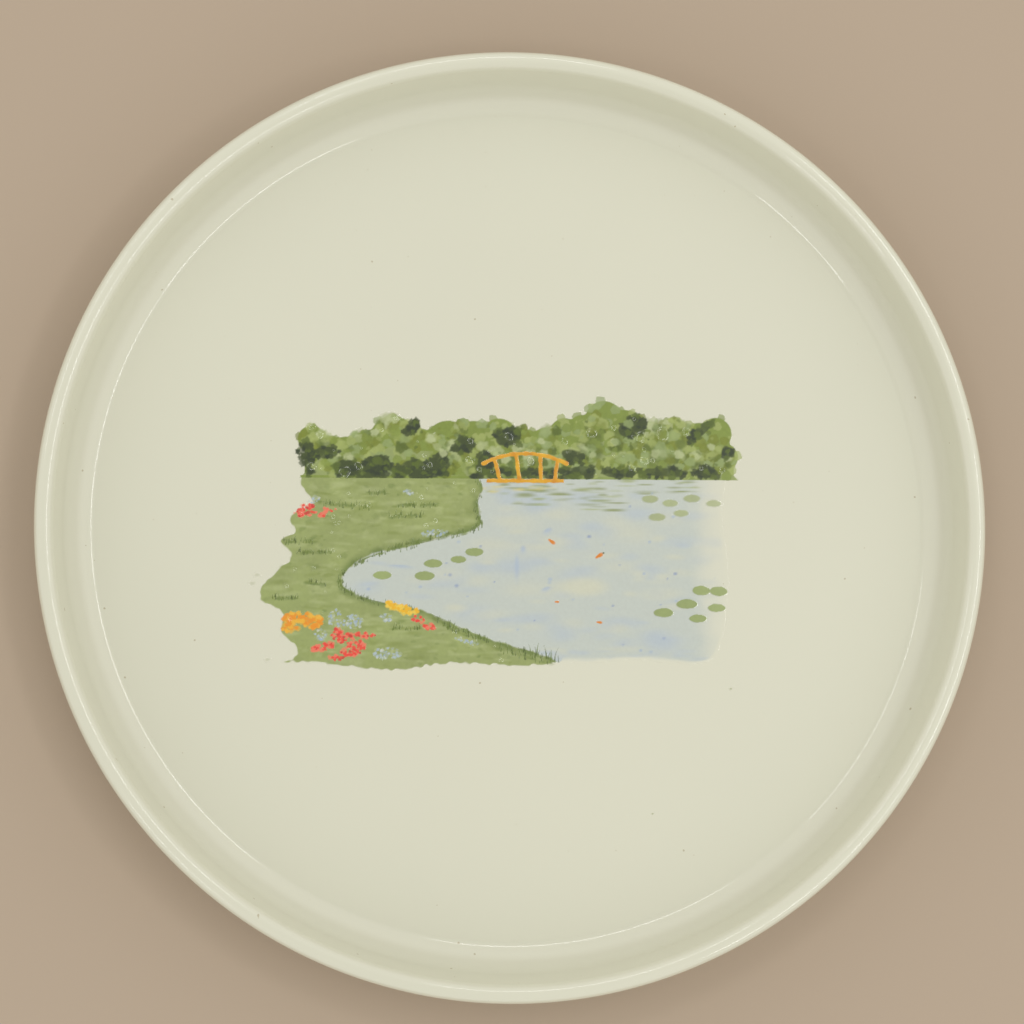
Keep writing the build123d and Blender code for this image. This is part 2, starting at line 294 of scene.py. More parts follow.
class Canvas:
    """A fine grid of enamel: its colour, its cover (0 is bare glaze) and its height over the glaze."""

    def __init__(self, low, high, cell, margin=0.8 * MM):
        self.cell = cell
        self.left, self.bottom = low.x - margin, low.y - margin
        columns = int((high.x - low.x + 2 * margin) / cell) + 2
        rows = int((high.y - low.y + 2 * margin) / cell) + 2
        self.x, self.y = np.meshgrid(
            self.left + cell * np.arange(columns), self.bottom + cell * np.arange(rows)
        )
        self.colour = np.tile(np.array(IVORY), (rows, columns, 1))
        self.cover = np.zeros((rows, columns))
        self.height = np.zeros((rows, columns))
        self.touched = np.zeros((rows, columns))
        self.floor = np.full((rows, columns), WELL)
        for layer in layers:
            self.lay_over(layer)

    def lay_over(self, layer):
        """Start from the colour, cover and height of an enamel that is already there."""
        colour, cover, height, touched = layer.sample(self.x, self.y)
        here = touched > 0.01
        self.colour[here] = colour[here]
        self.cover[here] = cover[here]
        self.height[here] = height[here]
        self.floor[here] = WELL + height[here]

    def sample(self, x, y):
        """This canvas read at any points, between its own grid points."""
        u = (x - self.left) / self.cell
        v = (y - self.bottom) / self.cell
        rows, columns = self.cover.shape
        inside = (u >= 0) & (v >= 0) & (u <= columns - 1) & (v <= rows - 1)
        i = np.clip(np.floor(u).astype(int), 0, columns - 2)
        j = np.clip(np.floor(v).astype(int), 0, rows - 2)
        s, t = np.clip(u - i, 0, 1), np.clip(v - j, 0, 1)
        read = []
        for grid in (self.colour, self.cover, self.height, self.touched):
            a, b = (s[..., None], t[..., None]) if grid.ndim == 3 else (s, t)
            below = grid[j, i] * (1 - a) + grid[j, i + 1] * a
            above = grid[j + 1, i] * (1 - a) + grid[j + 1, i + 1] * a
            read.append(below * (1 - b) + above * b)
        read[3] = np.where(inside, read[3], 0)
        return read

    def window(self, x, y, reach):
        rows, columns = self.cover.shape
        i0 = max(int((x - reach - self.left) / self.cell), 0)
        i1 = min(int((x + reach - self.left) / self.cell) + 2, columns)
        j0 = max(int((y - reach - self.bottom) / self.cell), 0)
        j1 = min(int((y + reach - self.bottom) / self.cell) + 2, rows)
        return slice(j0, max(j1, j0)), slice(i0, max(i1, i0))

    def blend(self, area, weight, colour, lift):
        """Mix a colour into part of the canvas, by weight at each grid point."""
        self.colour[area] += (colour - self.colour[area]) * weight[..., None]
        self.cover[area] = 1 - (1 - self.cover[area]) * (1 - weight)
        self.height[area] += weight * lift
        self.touched[area] = np.maximum(self.touched[area], weight)

    def dab(
        self, x, y, width, height, colour, strength=0.9, tilt=0.0, soft=0.3, ragged=0.0, lift=0.0, rim=0.0
    ):
        """One elliptical touch of the brush. A rim leaves its edge a little darker, as wet paint does."""
        area = self.window(x, y, max(width, height) * 0.75)
        dx, dy = self.x[area] - x, self.y[area] - y
        if dx.size == 0:
            return
        along = dx * math.cos(tilt) + dy * math.sin(tilt)
        across = dy * math.cos(tilt) - dx * math.sin(tilt)
        reach = np.hypot(along / (width / 2), across / (height / 2))
        if ragged:
            turn = np.arctan2(across, along)
            phase = random.uniform(0, 6.28, 3)
            reach *= 1 + ragged * (
                np.sin(3 * turn + phase[0])
                + 0.7 * np.sin(5 * turn + phase[1])
                + 0.5 * np.sin(8 * turn + phase[2])
            )
        weight = ramp((1 - reach) / soft) * strength
        shade = 1 - rim * np.exp(-(((reach - DRIED_RIM) / DRIED_RIM_WIDTH) ** 2))
        self.blend(area, weight, colour * shade[..., None], lift)

    def stroke(self, points, width, colour, strength=0.9, soft=0.6, lift=0.0, taper=0.85):
        """A line of overlapping touches that thins out towards its far end."""
        steps = max(int(math.dist(points[0], points[-1]) / (width * 0.45)), 3)
        for step in range(steps + 1):
            t = step / steps
            x = (1 - t) ** 2 * points[0][0] + 2 * t * (1 - t) * points[1][0] + t * t * points[2][0]
            y = (1 - t) ** 2 * points[0][1] + 2 * t * (1 - t) * points[1][1] + t * t * points[2][1]
            size = width * (1 - taper * t)
            self.dab(x, y, size * 1.3, size * 1.3, colour, strength, soft=soft, lift=lift / 3)

    def grain(self, amount, scale, seed):
        """Uneven pigment: the colour wanders lighter and darker."""
        self.colour *= (1 + amount * noise(self.x, self.y, scale, seed))[..., None]

    def piece(self, name, slot, replaces):
        """The canvas as one closed piece of enamel that rises out of the glaze."""
        used = self.touched > 0.004
        cell = used[:-1, :-1] | used[1:, :-1] | used[:-1, 1:] | used[1:, 1:]
        corner = np.zeros(used.shape, bool)
        for rows in (slice(0, -1), slice(1, None)):
            for columns in (slice(0, -1), slice(1, None)):
                corner[rows, columns] |= cell
        index = -np.ones(used.shape, int)
        count = int(corner.sum())
        index[corner] = np.arange(count)
        raised = WELL + CLEAR * (1 + len(layers)) + self.height
        top_z = np.where(used, raised, np.minimum(raised - CLEAR, self.floor - SUNK))[corner]
        x, y = self.x[corner], self.y[corner]
        top = np.column_stack((x, y, top_z))
        bottom = np.column_stack((x, y, np.full(count, WELL - ROOTED)))
        j, i = np.nonzero(cell)
        quads = np.column_stack((index[j, i], index[j, i + 1], index[j + 1, i + 1], index[j + 1, i]))
        edges = np.vstack([quads[:, [k, (k + 1) % 4]] for k in range(4)])
        ends = {(int(a), int(b)) for a, b in edges}
        rim = np.array([(a, b) for a, b in sorted(ends) if (b, a) not in ends])
        walls = np.column_stack((rim[:, 1], rim[:, 0], rim[:, 0] + count, rim[:, 1] + count))
        faces = np.vstack((quads, quads[:, ::-1] + count, walls))
        mesh = bpy.data.meshes.new(name)
        mesh.from_pydata(np.vstack((top, bottom)).tolist(), [], faces.tolist())
        smooth = np.zeros(len(faces), bool)
        smooth[: len(quads)] = True
        mesh.polygons.foreach_set("use_smooth", smooth)
        rgba = np.column_stack((self.colour[corner], self.cover[corner]))
        paint_mesh(mesh, np.vstack((rgba, rgba)))
        add_piece(name, mesh, replaces)
        layers.append(self)


# ---- Materials ----
def new_material(name):
    material = bpy.data.materials.new(name)
    material.use_nodes = True
    nodes = material.node_tree.nodes
    return material, nodes, material.node_tree.links, nodes["Principled BSDF"]


def object_noise(nodes, links, scale, detail=2.0):
    """A noise texture laid over the piece in metres, the same on every piece."""
    place = nodes.new("ShaderNodeTexCoord")
    texture = nodes.new("ShaderNodeTexNoise")
    texture.inputs["Scale"].default_value = scale
    texture.inputs["Detail"].default_value = detail
    links.new(place.outputs["Object"], texture.inputs["Vector"])
    return texture.outputs["Fac"]


def colour_ramp(nodes, links, factor, stops):
    """Colours along a factor, as (position, linear colour)."""
    node = nodes.new("ShaderNodeValToRGB")
    links.new(factor, node.inputs["Fac"])
    elements = node.color_ramp.elements
    for element, (position, colour) in zip(elements, stops[:2]):
        element.position = position
        element.color = (*colour, 1)
    for position, colour in stops[2:]:
        elements.new(position).color = (*colour, 1)
    return node.outputs["Color"]


def mixed(nodes, links, factor, first, second, blend="MIX"):
    """Two colours mixed by a factor. Each may be a socket or a plain colour."""
    node = nodes.new("ShaderNodeMix")
    node.data_type = "RGBA"
    node.blend_type = blend
    for value, socket in ((factor, node.inputs[0]), (first, node.inputs[6]), (second, node.inputs[7])):
        if isinstance(value, (int, float)):
            socket.default_value = value
        elif isinstance(value, (tuple, list)):
            socket.default_value = (*value, 1)
        else:
            links.new(value, socket)
    return node.outputs[2]


def bumps(nodes, links, shader, height, strength, distance):
    node = nodes.new("ShaderNodeBump")
    node.inputs["Strength"].default_value = strength
    node.inputs["Distance"].default_value = distance
    links.new(height, node.inputs["Height"])
    links.new(node.outputs["Normal"], shader.inputs["Normal"])


def ivory(nodes, links):
    """The glaze's own colour: ivory that drifts a little, with a few fired-in iron specks."""
    drift = object_noise(nodes, links, 9.0, 3.0)
    tone = colour_ramp(
        nodes, links, drift, [(0.30, [c * 0.985 for c in IVORY]), (0.70, [c * 1.012 for c in IVORY])]
    )
    fine = object_noise(nodes, links, 850.0, 0.0)
    peppering = colour_ramp(nodes, links, fine, [(0.105, (0.72, 0.66, 0.56)), (0.125, (1.0, 1.0, 1.0))])
    return mixed(nodes, links, 1.0, tone, peppering, "MULTIPLY")


def fired_gloss(nodes, links, shader):
    """A clear glossy coat over a duller base, with the faint ripple that glaze fires to."""
    shader.inputs["Roughness"].default_value = 0.38
    shader.inputs["Coat Weight"].default_value = 1.0
    shader.inputs["Coat Roughness"].default_value = 0.035
    shader.inputs["Coat IOR"].default_value = 1.58
    bumps(nodes, links, shader, object_noise(nodes, links, 60.0), 0.05, 0.4 * MM)


def glaze_material():
    material, nodes, links, shader = new_material("ivory_glaze")
    fired_gloss(nodes, links, shader)
    links.new(ivory(nodes, links), shader.inputs["Base Color"])
    return material


def enamel_material():
    """Painted enamel: the colours on the mesh, thinning out to the bare glaze's own ivory."""
    material, nodes, links, shader = new_material("painted_enamel")
    fired_gloss(nodes, links, shader)
    painted = nodes.new("ShaderNodeAttribute")
    painted.attribute_name = "paint"
    grain = object_noise(nodes, links, 1500.0)
    flecks = colour_ramp(nodes, links, grain, [(0.25, (0.97, 0.97, 0.97)), (0.75, (1.02, 1.02, 1.02))])
    pigment = mixed(nodes, links, 1.0, painted.outputs["Color"], flecks, "MULTIPLY")
    colour = mixed(nodes, links, painted.outputs["Alpha"], ivory(nodes, links), pigment)
    links.new(colour, shader.inputs["Base Color"])
    return material


def bisque_material():
    """The unglazed foot: chalky, a little warmer, with grains of clay."""
    material, nodes, links, shader = new_material("bare_bisque")
    clay = object_noise(nodes, links, 900.0, 6.0)
    tone = colour_ramp(
        nodes, links, clay, [(0.35, linear((0.80, 0.75, 0.67))), (0.65, linear((0.90, 0.87, 0.79)))]
    )
    rub = object_noise(nodes, links, 35.0, 3.0)
    worn = mixed(nodes, links, rub, tone, linear((0.84, 0.80, 0.73)))
    links.new(worn, shader.inputs["Base Color"])
    shader.inputs["Roughness"].default_value = 0.86
    bumps(nodes, links, shader, clay, 0.5, 0.2 * MM)
    return material


glaze = glaze_material()
enamel = enamel_material()
bisque = bisque_material()


# ---- The plate ----
def arc(centre, radius, start, end, steps):
    return [
        Vector((centre[0] + radius * math.cos(a), centre[1] + radius * math.sin(a)))
        for a in np.linspace(start, end, steps)
    ]


def rounded(before, corner, after, radius, steps=14):
    """The arc that rounds a corner of the section, from the run before it to the run after it."""
    back = (Vector(before) - Vector(corner)).normalized()
    onward = (Vector(after) - Vector(corner)).normalized()
    half = back.angle(onward) / 2
    centre = Vector(corner) + (back + onward).normalized() * (radius / math.sin(half))
    reach = radius / math.tan(half)
    start = Vector(corner) + back * reach - centre
    end = Vector(corner) + onward * reach - centre
    first = math.atan2(start.y, start.x)
    turn = math.atan2(end.y, end.x) - first
    turn = (turn + math.pi) % (2 * math.pi) - math.pi
    return arc(centre, radius, first, first + turn, steps)


def face_section():
    """The glazed face's section as radius and height: well, wall, lip, outside and outer foot."""
    start = Vector((CREASE_RADIUS, WELL))
    wall_centre = start + WALL_CURVE_RADIUS * Vector((-math.sin(WALL_START), math.cos(WALL_START)))
    meet = math.acos((wall_centre.y - WELL - CREASE_BLEND) / (WALL_CURVE_RADIUS - CREASE_BLEND))
    to_blend = Vector((math.sin(meet), -math.cos(meet)))
    blend_centre = wall_centre + (WALL_CURVE_RADIUS - CREASE_BLEND) * to_blend
    down = -math.pi / 2
    blend = arc(blend_centre, CREASE_BLEND, down, down + meet, 10)
    wall = arc(wall_centre, WALL_CURVE_RADIUS, down + meet, down + WALL_END, 22)
    lip_inside = wall[-1] + (RIM_TOP - wall[-1].y) * Vector((1 / math.tan(WALL_END), 1))
    lip_outside = (OUTER_RADIUS, RIM_TOP)
    bend = (OUTER_RADIUS, RIM_TOP - UPRIGHT_OUTSIDE)
    base = (OUTER_RADIUS - OUTER_WALL_LEAN, UNDERSIDE + SHOULDER_HEIGHT)
    foot_top = (FOOT_OUTER_RADIUS + FOOT_FLARE, UNDERSIDE - UNDERSIDE_DROP - GLAZE_THICKNESS)
    foot_slope = FOOT_FLARE / foot_top[1]
    flat = [Vector((r, WELL)) for r in np.linspace(0, blend[0].x, 14)[:-1]]
    rim = rounded(wall[-1], lip_inside, lip_outside, LIP_INNER_BLEND)
    rim += rounded(lip_inside, lip_outside, bend, LIP_OUTER_BLEND)
    outside = rounded(lip_outside, bend, base, WALL_BEND_RADIUS, 6)
    outside += rounded(bend, base, foot_top, OUTER_WALL_RADIUS)
    foot = [Vector(foot_top), Vector((FOOT_OUTER_RADIUS + foot_slope * GLAZE_END, GLAZE_END))]
    return flat + blend + wall[1:] + rim + outside + foot


def underside_section():
    """The underside glaze's section, from the axis to the inside of the foot."""
    foot_inner = FOOT_OUTER_RADIUS - FOOT_WIDTH
    level = UNDERSIDE - GLAZE_THICKNESS
    corner = (foot_inner - FOOT_FLARE, level)
    end = Vector((foot_inner - FOOT_FLARE * GLAZE_END / level, GLAZE_END))
    bend = rounded((0, level), corner, end, 0.6 * MM, 8)
    return [Vector((r, level)) for r in np.linspace(0, bend[0].x, 12)[:-1]] + bend + [end]


def bands(rings, spokes):
    """The faces between rings of points that follow one another, with as many spokes in each."""
    faces = []
    for ring in range(rings - 1):
        here, onward = ring * spokes, (ring + 1) * spokes
        for k in range(spokes):
            n = (k + 1) % spokes
            faces.append((here + k, onward + k, onward + n, here + n))
    return faces


def revolved(name, section, side, node):
    """A closed skin of glaze, turned from its visible section, with a potter's slight unevenness."""
    line = np.array([tuple(p) for p in section])
    run = np.gradient(line, axis=0)
    run /= np.linalg.norm(run, axis=1)[:, None]
    inner = line + GLAZE_THICKNESS * side * np.column_stack((-run[:, 1], run[:, 0]))
    inner[0, 0] = 0
    inner = inner[::3] if len(inner) % 3 == 1 else np.vstack((inner[::3], inner[-1]))
    loop = np.vstack((line[1:], inner[::-1][:-1]))
    turn = np.linspace(0, 2 * math.pi, TURNS, endpoint=False)
    uneven = 0.5 + 0.25 * np.sin(2 * turn + 0.6) + 0.15 * np.sin(3 * turn + 2.1) + 0.1 * np.sin(5 * turn)
    rise = np.clip((loop[:, 1] - WELL) / (RIM_TOP - WELL), 0, 1)
    radius = loop[:, 0][:, None] - UNEVENNESS * np.outer(rise, uneven)
    height = loop[:, 1][:, None] - UNEVENNESS * np.outer(rise, np.roll(uneven, 90))
    points = np.stack((radius * np.cos(turn), radius * np.sin(turn), height), axis=-1).reshape(-1, 3)
    points = points.tolist() + [(0, 0, line[0, 1]), (0, 0, inner[0, 1])]
    rings = len(loop)
    faces = bands(rings, TURNS)
    last = (rings - 1) * TURNS
    for k in range(TURNS):
        n = (k + 1) % TURNS
        faces.append((rings * TURNS, k, n))
        faces.append((rings * TURNS + 1, last + n, last + k))
    mesh = bpy.data.meshes.new(name)
    mesh.from_pydata(points, [], faces if side < 0 else [face[::-1] for face in faces])
    mesh.polygons.foreach_set("use_smooth", np.ones(len(faces), bool))
    mesh.materials.append(glaze)
    add_piece(name, mesh, [node])


def plate():
    revolved("glaze_skin", face_section(), -1, "face_glaze")
    revolved("glaze_under_skin", underside_section(), 1, "underside_glaze")
    body = frame["nodes"]["plate_body"].data
    body.materials.clear()
    body.materials.append(bisque)


# ---- The picture ----
def choice(options):
    return options[random.integers(len(options))]


def spread(low, high):
    return random.uniform(low, high)


def crown(canvas, x, y, size):
    """One tree crown: a soft mass with light lobes towards its top and deeper ones underneath."""
    canvas.dab(x, y, size * 2, size * 1.8, choice([TREE_MID, TREE_OLIVE, TREE_DEEP]), 0.55, soft=0.3,
               ragged=0.08, rim=0.06)
    tops = choice([
        [TREE_LIGHT, TREE_PALE, TREE_LIGHT],
        [TREE_SAGE, TREE_LIGHT, TREE_MID],
        [TREE_PALE, TREE_SAGE],
    ])
    for _ in range(9):
        turn, reach = spread(0, 2 * math.pi), math.sqrt(spread(0, 1)) * size * 0.75
        rise = math.sin(turn) * reach / size
        lit = spread(-0.25, 0.25) < rise + 0.05
        tone = choice(tops if lit else [TREE_MID, TREE_DEEP, TREE_OLIVE])
        lobe = size * spread(0.6, 1.1)
        canvas.dab(x + math.cos(turn) * reach, y + math.sin(turn) * reach, lobe, lobe * spread(0.7, 1.0),
                   tone, spread(0.45, 0.85), spread(-1, 1), soft=spread(0.2, 0.5), ragged=0.1, rim=0.07)


def dark_foliage(canvas, region, low):
    """Deep green gaps with lobed edges, and the shade along the foot of the trees."""
    depth = region.depths(canvas.x, canvas.y) + 0.35 * MM * noise(canvas.x, canvas.y, 1.1 * MM, 23)
    patchy = 0.86 + 0.12 * noise(canvas.x, canvas.y, 1.6 * MM, 24)
    canvas.blend(EVERYWHERE, ramp((depth - 0.1 * MM) / (0.4 * MM)) * patchy, DARK, 0)
    for x, y in region.scatter(330):
        size = spread(1.1, 2.5) * MM
        canvas.dab(x, y, size, size * spread(0.7, 1.0), choice([DARK, DARK, DARKER, TREE_DEEP]), 0.85,
                   spread(-1, 1), soft=0.35, ragged=0.12, rim=0.08)
    for _ in range(330):
        x = spread(canvas.x.min() + 4.0 * MM, canvas.x.max() - 4.0 * MM)
        if noise(np.array(x), np.array(0.0), 6 * MM, 5) > -0.15:
            size = spread(1.4, 3.2) * MM
            canvas.dab(x, low + spread(0.1, 2.2) * MM, size, size * 0.6, choice([DARK, DARKER, TREE_DEEP]),
                       0.8, soft=0.4, ragged=0.1)


def trees():
    """Watercolour crowns in leaf greens, with dark foliage in the gaps and along the bank."""
    region, shadows = Region("treeline_enamel"), Region("dark_foliage_enamel")
    low, high = region.low, region.high
    canvas = Canvas(low, high, cell=0.2 * MM)
    depth = region.depths(canvas.x, canvas.y)
    foot = canvas.y - low.y
    at_foot = (foot > -0.2 * MM) & (foot < depth + 0.15 * MM)
    inset = np.where(at_foot, MM, depth)
    canvas.blend(EVERYWHERE, ramp((inset - 0.75 * MM) / (0.3 * MM)), TREE_MID, FILM)
    greens = [TREE_LIGHT, TREE_MID, TREE_MID, TREE_OLIVE, TREE_SAGE, TREE_LIGHT]
    for x, y in region.scatter(430, 0.6 * MM):
        size = min(spread(1.7, 3.2) * MM, 2.9 * region.depth(x, y))
        canvas.dab(x, y, size, size * spread(0.8, 1.1), choice(greens), 0.85, soft=0.18, ragged=0.07,
                   lift=0.002 * MM, rim=0.06)
    crowns = sorted(region.scatter(58, 1.5 * MM), key=lambda place: -place[1])
    for x, y in crowns:
        crown(canvas, x, y, min(spread(2.0, 3.6) * MM, region.depth(x, y) + 0.6 * MM))
    for x, y in region.scatter(150, 0.7 * MM):
        size = spread(0.6, 1.6) * MM
        tone = choice([TREE_LIGHT, TREE_OLIVE, TREE_DEEP, TREE_DEEP, TREE_SAGE])
        canvas.dab(x, y, size, size * spread(0.6, 1.0), tone, spread(0.3, 0.7), spread(-1, 1), soft=0.4,
                   ragged=0.1)
    dark_foliage(canvas, shadows, low.y)
    for x, y in region.scatter(15, 2.0 * MM):
        size = spread(1.8, 3.2) * MM
        canvas.dab(x, y, size, size * 0.8, choice([TREE_PALE, TREE_SAGE]), 0.8, spread(-1, 1), soft=0.35,
                   ragged=0.08, rim=0.05)
    canvas.grain(0.05, 0.7 * MM, 21)
    canvas.grain(0.06, 3.0 * MM, 22)
    canvas.touched *= foot > -0.18 * MM
    canvas.piece("painted_trees", "leaf_enamel", ["treeline_enamel", "dark_foliage_enamel"])


def meadow():
    """A sage wash with strokes of lighter and darker green, darker along the pond's bank."""
    region, pond = Region("meadow_enamel"), Region("pond_enamel")
    canvas = Canvas(region.low, region.high, cell=0.2 * MM, margin=0.4 * MM)
    depth = region.depths(canvas.x, canvas.y)
    ragged = depth + 0.35 * MM * noise(canvas.x, canvas.y, 1.1 * MM, 30) - 0.15 * MM
    edge = np.where(region.high.y - canvas.y < depth + 0.3 * MM, MM, ragged)
    canvas.blend(EVERYWHERE, ramp((edge + 0.2 * MM) / (0.4 * MM)), GRASS, FILM)
    for x, y in region.scatter(260, 1.0 * MM):
        size = spread(3.0, 10.0) * MM
        tone = choice([GRASS_LIGHT, GRASS_LIGHT, GRASS_OLIVE, GRASS])
        canvas.dab(x, y, size, size * spread(0.12, 0.3), tone, spread(0.3, 0.65), spread(-0.15, 0.15),
                   soft=0.8)
    for x, y, length, width, tilt in islands("grass_enamel"):
        for _ in range(int(length / MM * 2.2)):
            along = spread(-0.5, 0.5) * length
            canvas.dab(x + along * math.cos(tilt), y + along * math.sin(tilt) + spread(-0.3, 0.3) * width,
                       spread(1.6, 3.6) * MM, spread(0.4, 1.1) * MM, choice([GRASS_OLIVE, GRASS_DEEP]), 0.5,
                       tilt, soft=0.7)
    tones = [GRASS_OLIVE, GRASS_DEEP, GRASS_LIGHT, GRASS_LIGHT]
    for x, y in region.scatter(320, 0.5 * MM):
        size = spread(0.8, 2.6) * MM
        canvas.dab(x, y, size, size * spread(0.4, 0.8), choice(tones), spread(0.15, 0.45),
                   spread(-0.4, 0.4), soft=0.6, ragged=0.1)
    near_bank = ramp(1 - over_grid(pond.edge_distance, canvas.x, canvas.y) / (2.0 * MM))
    worn = 0.75 + 0.6 * noise(canvas.x, canvas.y, 2.2 * MM, 31)
    canvas.blend(EVERYWHERE, near_bank * np.clip(worn, 0, 1) * ramp(depth / (0.2 * MM)), GRASS_DEEP, 0)
    shade = 1 + 0.04 * noise(canvas.x, canvas.y, 0.6 * MM, 32)
    shade = shade + 0.08 * noise(canvas.x, canvas.y, 4 * MM, 33)
    canvas.colour *= np.where(depth > 0, shade, 1)[..., None]
    canvas.touched *= depth > -0.5 * MM
    canvas.piece("painted_meadow", "meadow_enamel", ["meadow_enamel"])


def pond():
    """Thin blue-grey water that fades into the glaze at its free edges, with reflections near the trees."""
    region, grass = Region("pond_enamel"), Region("meadow_enamel")
    low, high = region.low, region.high
    canvas = Canvas(low, high, cell=0.3 * MM, margin=0.3 * MM)
    depth = region.depths(canvas.x, canvas.y)
    to_grass = over_grid(grass.edge_distance, canvas.x, canvas.y)
    shared = (to_grass < depth + 0.5 * MM) | (high.y - canvas.y < depth + 0.2 * MM)
    drift = noise(canvas.x, canvas.y, 6 * MM, 41) + 0.6 * noise(canvas.x, canvas.y, 2.2 * MM, 43)
    thinning = 0.45 + 0.55 * ramp((high.x - canvas.x - drift * 1.5 * MM) / (9 * MM))
    free_edge = ramp((depth + (0.5 + 0.5 * drift) * MM) / ((1.6 + 0.6 * drift) * MM)) * thinning
    free_edge = free_edge * (high.y - canvas.y > -0.2 * MM)
    fade = np.where(shared, ramp((depth + 0.9 * MM) / (0.3 * MM)) * thinning, free_edge)
    canvas.blend(EVERYWHERE, fade, WATER, FILM / 2)
    for tone, count, strength in ((WATER_BLUE, 60, 0.6), (WATER_CREAM, 46, 0.55), (WATER, 30, 0.6)):
        for x, y in region.scatter(count, 2.0 * MM):
            size = spread(5.0, 16.0) * MM
            canvas.dab(x, y, size, size * spread(0.2, 0.5), tone, strength * spread(0.5, 1),
                       spread(-0.1, 0.1), soft=0.9)
    for x, y, length, width, tilt in islands("water_mark_enamel"):
        if y > high.y - 7 * MM:
            for _ in range(13):
                canvas.dab(x + spread(-0.5, 0.5) * length, y + spread(-1.4, 2.4) * MM, spread(3, 9) * MM,
                           spread(0.4, 0.9) * MM, choice([WATER_GREEN, WATER_GREEN, PAD_SOFT]),
                           spread(0.35, 0.8), soft=0.8)
        else:
            canvas.dab(x, y, length, width * 1.1, WATER_DEEP, 0.6, tilt, soft=0.8)
            canvas.dab(x, y - 0.3 * width, length * 1.5, width * 2.0, WATER_BLUE, 0.5, tilt, soft=0.9)
    across, up = high.x - low.x, high.y - low.y
    canvas.dab(low.x + 0.62 * across, low.y + 0.42 * up, 15 * MM, 6 * MM, WATER_CREAM, 0.8, soft=0.7)
    for _ in range(26):
        canvas.dab(spread(low.x + 0.35 * across, high.x - 3 * MM), low.y + spread(0.8, 3.0) * MM,
                   spread(3, 9) * MM, spread(0.8, 2.0) * MM, WATER_BLUE, 0.35, soft=0.9)
    for x, y in region.scatter(34, 1.5 * MM):
        drop = spread(0.5, 1.1) * MM
        canvas.dab(x, y, drop * 1.4, drop, choice([INK_BLUE, WATER_DEEP, WATER_DEEP]), spread(0.3, 0.7),
                   soft=0.7)
    bridge_low, bridge_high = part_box("bridge_enamel")
    for _ in range(16):
        canvas.dab(spread(bridge_low.x, bridge_high.x - 3 * MM), bridge_low.y - spread(1.0, 2.4) * MM,
                   spread(2.5, 6) * MM, spread(0.5, 0.9) * MM, BRIDGE_REFLECTION, 0.35, soft=0.8)
    canvas.cover *= fade
    canvas.touched *= fade
    canvas.piece("painted_pond", "pond_enamel", ["pond_enamel", "water_mark_enamel"])


def bridge():
    """The arched footbridge in thick ochre strokes, raised along the crest of each stroke, with lighter and
    darker patches.
    """
    region = Region("bridge_enamel")
    canvas = Canvas(region.low, region.high, cell=0.1 * MM, margin=0.4 * MM)
    depth = region.depths(canvas.x, canvas.y)
    wander = 0.12 * MM * noise(canvas.x, canvas.y, 0.9 * MM, 51)
    weight = ramp((depth + wander + 0.17 * MM) / (0.22 * MM))
    canvas.blend(EVERYWHERE, weight, OCHRE, 0)
    for tone, scale, seed in ((OCHRE_DARK, 1.3 * MM, 52), (OCHRE_LIGHT, 1.6 * MM, 53)):
        patchy = np.clip(noise(canvas.x, canvas.y, scale, seed), 0, 1)
        canvas.blend(EVERYWHERE, weight * patchy * 0.8, tone, 0)
    crest = np.sqrt(np.clip((depth + wander + 0.2 * MM) / (0.58 * MM), 0, 1))
    canvas.height += RAISED * crest * (weight > 0)
    canvas.grain(0.04, 0.4 * MM, 54)
    canvas.piece("painted_bridge", "bridge_enamel", ["bridge_enamel"])


def lily_pads():
    """Domed pads, each its own green, the far ones softer than the near ones."""
    region = Region("lily_pad_enamel")
    canvas = Canvas(region.low, region.high, cell=0.15 * MM, margin=0.4 * MM)
    middle = (region.low.y + region.high.y) / 2
    for x, y, length, width, tilt in islands("lily_pad_enamel"):
        far = y > middle + 0.2 * (region.high.y - middle)
        tone = (PAD_SOFT if far else PAD) * spread(0.94, 1.05)
        lumps = 2 if length > 5.6 * MM else 1
        for lump in range(lumps):
            slide = (lump - (lumps - 1) / 2) * 0.48 * length
            canvas.dab(x + slide * math.cos(tilt), y + slide * math.sin(tilt), length / lumps * 1.06,
                       width * 1.04, tone, 0.85 if far else 0.95, tilt, soft=0.3 if far else 0.14,
                       ragged=0.025, lift=0.05 * MM, rim=0.05)
    canvas.grain(0.035, 0.8 * MM, 61)
    canvas.piece("painted_lily_pads", "pad_enamel", ["lily_pad_enamel"])


def goldfish():
    """Small tapered orange strokes. One has a dark head."""
    region = Region("goldfish_enamel")
    canvas = Canvas(region.low, region.high, cell=0.1 * MM, margin=0.6 * MM)
    for x, y, length, width, tilt in islands("goldfish_enamel"):
        for step in range(7):
            t = step / 6
            slide = (t - 0.5) * length * 0.42
            size = width * (1.0 - 0.45 * t)
            canvas.dab(x - slide * math.cos(tilt), y - slide * math.sin(tilt), size * 1.3, size, FISH, 0.7,
                       tilt, soft=0.5, lift=0.008 * MM)
        if length > 2.5 * MM and tilt > 0:
            nose = 0.46 * length
            canvas.dab(x + nose * math.cos(tilt), y + nose * math.sin(tilt), 0.6 * MM, 0.5 * MM, BLADE_DARK,
                       0.9, soft=0.5)
    canvas.piece("painted_goldfish", "fish_enamel", ["goldfish_enamel"])


def blade(canvas, x, y, length, lean, tone):
    """One blade of grass, flicked upwards."""
    middle = (x + 0.1 * lean * length, y + 0.6 * length)
    tip = (x + lean * length, y + length)
    canvas.stroke([(x, y), middle, tip], 0.30 * MM, tone, 0.7, lift=0.003 * MM)


